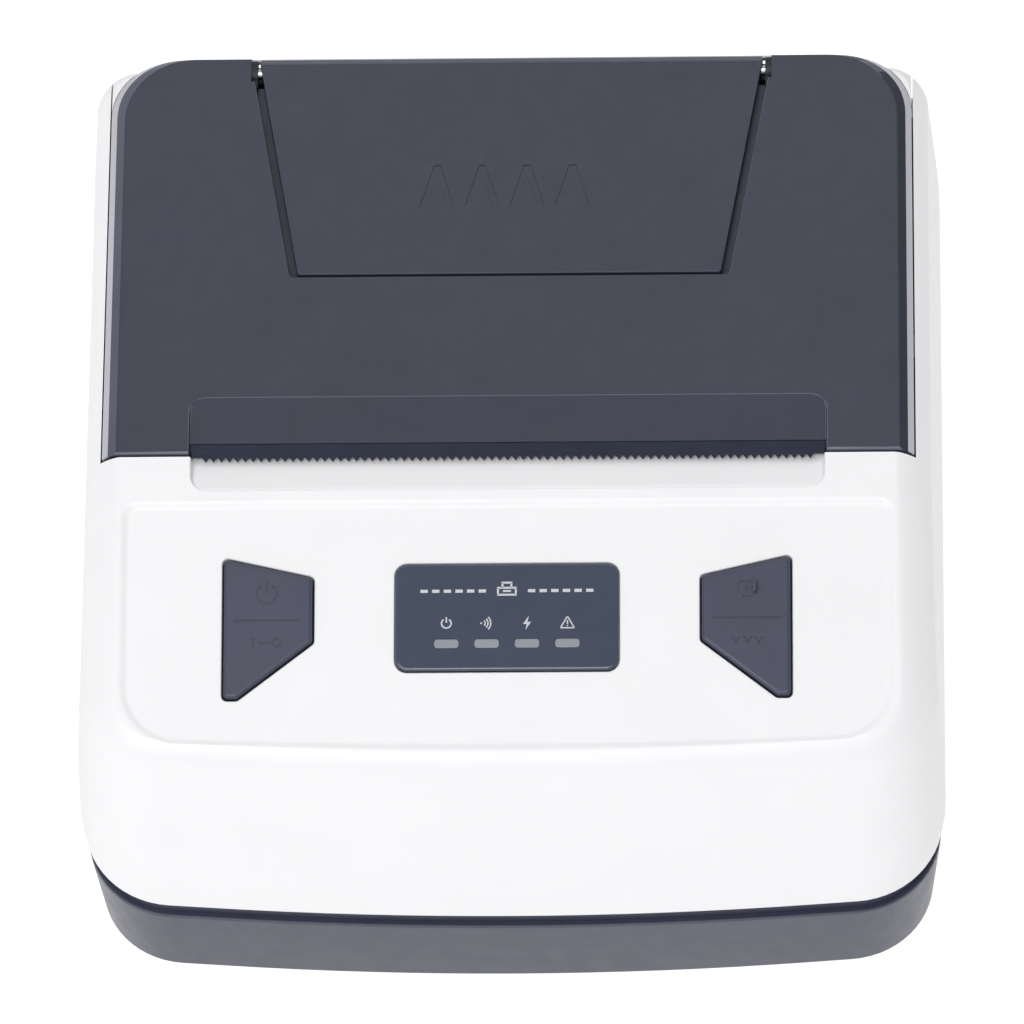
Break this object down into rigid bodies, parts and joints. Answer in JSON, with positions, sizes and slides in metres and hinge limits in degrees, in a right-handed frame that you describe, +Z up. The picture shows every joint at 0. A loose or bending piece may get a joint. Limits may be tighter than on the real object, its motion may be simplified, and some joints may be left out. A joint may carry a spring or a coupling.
{
  "type": "label_printer",
  "caption": "Portable thermal label printer with a rear-hinged dark lid, a release flap, a serrated tear bar and a sloping control panel with two keys and a status display.",
  "frame": {"origin": "middle of the bounding box at the level of the feet", "axes": "+X to the printer's right as seen from the front, +Y to the rear where the lid is hinged, +Z up; the control panel faces -Y"},
  "size_m": [0.1128, 0.1088, 0.0565],
  "materials": {
    "base_screw_1": "plain steel",
    "base_screw_2": "plain steel",
    "base_screw_3": "plain steel",
    "base_screw_4": "plain steel",
    "base_shell": "fine matte moulded plastic",
    "battery_door": "fine matte moulded plastic",
    "battery_pack": "fine matte moulded plastic",
    "charging_port": "plain steel",
    "control_board": "fine matte moulded plastic",
    "corner_cap_left": "fine matte moulded plastic",
    "corner_cap_right": "fine matte moulded plastic",
    "cover_liner": "fine matte moulded plastic",
    "cover_shell": "fine matte moulded plastic",
    "door_screw": "plain steel",
    "feed_button": "fine matte moulded plastic",
    "flap_pin_left": "plain steel",
    "flap_pin_right": "plain steel",
    "gear_plate": "plain steel",
    "head_frame": "plain steel",
    "head_spring_left": "plain steel",
    "head_spring_right": "plain steel",
    "heat_sink": "extruded aluminium",
    "hinge_pin_left": "plain steel",
    "hinge_pin_right": "plain steel",
    "idler_gear": "fine matte moulded plastic",
    "latch_catch_left": "plain steel",
    "latch_catch_right": "plain steel",
    "latch_slider": "fine matte moulded plastic",
    "light_guide": "clear or tinted glossy plastic",
    "liner_screw_1": "plain steel",
    "liner_screw_2": "plain steel",
    "main_board": "fine matte moulded plastic",
    "motor_pinion": "fine matte moulded plastic",
    "paper_sensor": "fine matte moulded plastic",
    "platen_bracket_left": "plain steel",
    "platen_bracket_right": "plain steel",
    "platen_bush_left": "fine matte moulded plastic",
    "platen_bush_right": "fine matte moulded plastic",
    "platen_gear": "fine matte moulded plastic",
    "platen_roller": "matte rubber",
    "platen_shaft": "plain steel",
    "power_button": "fine matte moulded plastic",
    "print_head": "smooth ceramic",
    "radio_module": "plain steel",
    "release_flap": "fine matte moulded plastic",
    "roll_bay": "fine matte moulded plastic",
    "rubber_foot_1": "matte rubber",
    "rubber_foot_2": "matte rubber",
    "rubber_foot_3": "matte rubber",
    "rubber_foot_4": "matte rubber",
    "status_led_1": "clear or tinted glossy plastic",
    "status_led_2": "clear or tinted glossy plastic",
    "status_led_3": "clear or tinted glossy plastic",
    "status_led_4": "clear or tinted glossy plastic",
    "status_window": "clear or tinted glossy plastic",
    "stepper_motor": "plain steel",
    "tact_switch_left": "fine matte moulded plastic",
    "tact_switch_right": "fine matte moulded plastic",
    "tear_bar": "plain steel",
    "upper_shell": "fine matte moulded plastic"
  },
  "bodies": {
    "case": {"base_screw_1": "base_screw_1", "base_screw_2": "base_screw_2", "base_screw_3": "base_screw_3", "base_screw_4": "base_screw_4", "base_shell": "base_shell", "battery_door": "battery_door", "battery_pack": "battery_pack", "charging_port": "charging_port", "control_board": "control_board", "door_screw": "door_screw", "gear_plate": "gear_plate", "head_frame": "head_frame", "head_spring_left": "head_spring_left", "head_spring_right": "head_spring_right", "heat_sink": "heat_sink", "hinge_pin_left": "hinge_pin_left", "hinge_pin_right": "hinge_pin_right", "latch_catch_left": "latch_catch_left", "latch_catch_right": "latch_catch_right", "light_guide": "light_guide", "main_board": "main_board", "paper_sensor": "paper_sensor", "print_head": "print_head", "radio_module": "radio_module", "roll_bay": "roll_bay", "rubber_foot_1": "rubber_foot_1", "rubber_foot_2": "rubber_foot_2", "rubber_foot_3": "rubber_foot_3", "rubber_foot_4": "rubber_foot_4", "status_led_1": "status_led_1", "status_led_2": "status_led_2", "status_led_3": "status_led_3", "status_led_4": "status_led_4", "status_window": "status_window", "stepper_motor": "stepper_motor", "tact_switch_left": "tact_switch_left", "tact_switch_right": "tact_switch_right", "upper_shell": "upper_shell"},
    "cover": {"cover_shell": "cover_shell", "corner_cap_left": "corner_cap_left", "corner_cap_right": "corner_cap_right", "cover_liner": "cover_liner", "liner_screw_1": "liner_screw_1", "liner_screw_2": "liner_screw_2", "tear_bar": "tear_bar", "platen_bracket_left": "platen_bracket_left", "platen_bracket_right": "platen_bracket_right", "flap_pin_left": "flap_pin_left", "flap_pin_right": "flap_pin_right", "platen_bush_left": "platen_bush_left", "platen_bush_right": "platen_bush_right"},
    "platen": {"platen_roller": "platen_roller", "platen_shaft": "platen_shaft", "platen_gear": "platen_gear"},
    "flap": {"release_flap": "release_flap"},
    "latch": {"latch_slider": "latch_slider"},
    "power_key": {"power_button": "power_button"},
    "feed_key": {"feed_button": "feed_button"},
    "idler": {"idler_gear": "idler_gear"},
    "motor_rotor": {"motor_pinion": "motor_pinion"}
  },
  "joints": [
    {"name": "cover_hinge", "type": "hinge", "parent": "case", "child": "cover", "pos_m": [0, 0.0515, 0.0503], "axis": [-1, 0, 0], "range_deg": [0, 90]},
    {"name": "platen_spin", "type": "hinge", "parent": "cover", "child": "platen", "pos_m": [0, 0.0004, 0.0465], "axis": [1, 0, 0], "continuous": true},
    {"name": "flap_hinge", "type": "hinge", "parent": "cover", "child": "flap", "pos_m": [0, 0.0526, 0.0547], "axis": [-1, 0, 0], "range_deg": [0, 60]},
    {"name": "latch_slide", "type": "slide", "parent": "cover", "child": "latch", "axis": [0, -1, 0], "range_m": [0, 0.0022]},
    {"name": "power_press", "type": "slide", "parent": "case", "child": "power_key", "axis": [0, 0.2079, -0.9781], "range_m": [0, 0.0006], "stiffness_N_per_m": 800},
    {"name": "feed_press", "type": "slide", "parent": "case", "child": "feed_key", "axis": [0, 0.2079, -0.9781], "range_m": [0, 0.0006], "stiffness_N_per_m": 800},
    {"name": "idler_spin", "type": "hinge", "parent": "case", "child": "idler", "pos_m": [0, -0.0046, 0.03727], "axis": [1, 0, 0], "continuous": true},
    {"name": "motor_spin", "type": "hinge", "parent": "case", "child": "motor_rotor", "pos_m": [0, -0.0067, 0.02862], "axis": [1, 0, 0], "continuous": true}
  ],
  "couplings": [
    {"joint": "idler_spin", "follows": "platen_spin", "ratio": -0.73333},
    {"joint": "motor_spin", "follows": "platen_spin", "ratio": 1.5714},
    {"joint": "latch_slide", "follows": "flap_hinge", "m_per_rad": 0.0021}
  ]
}
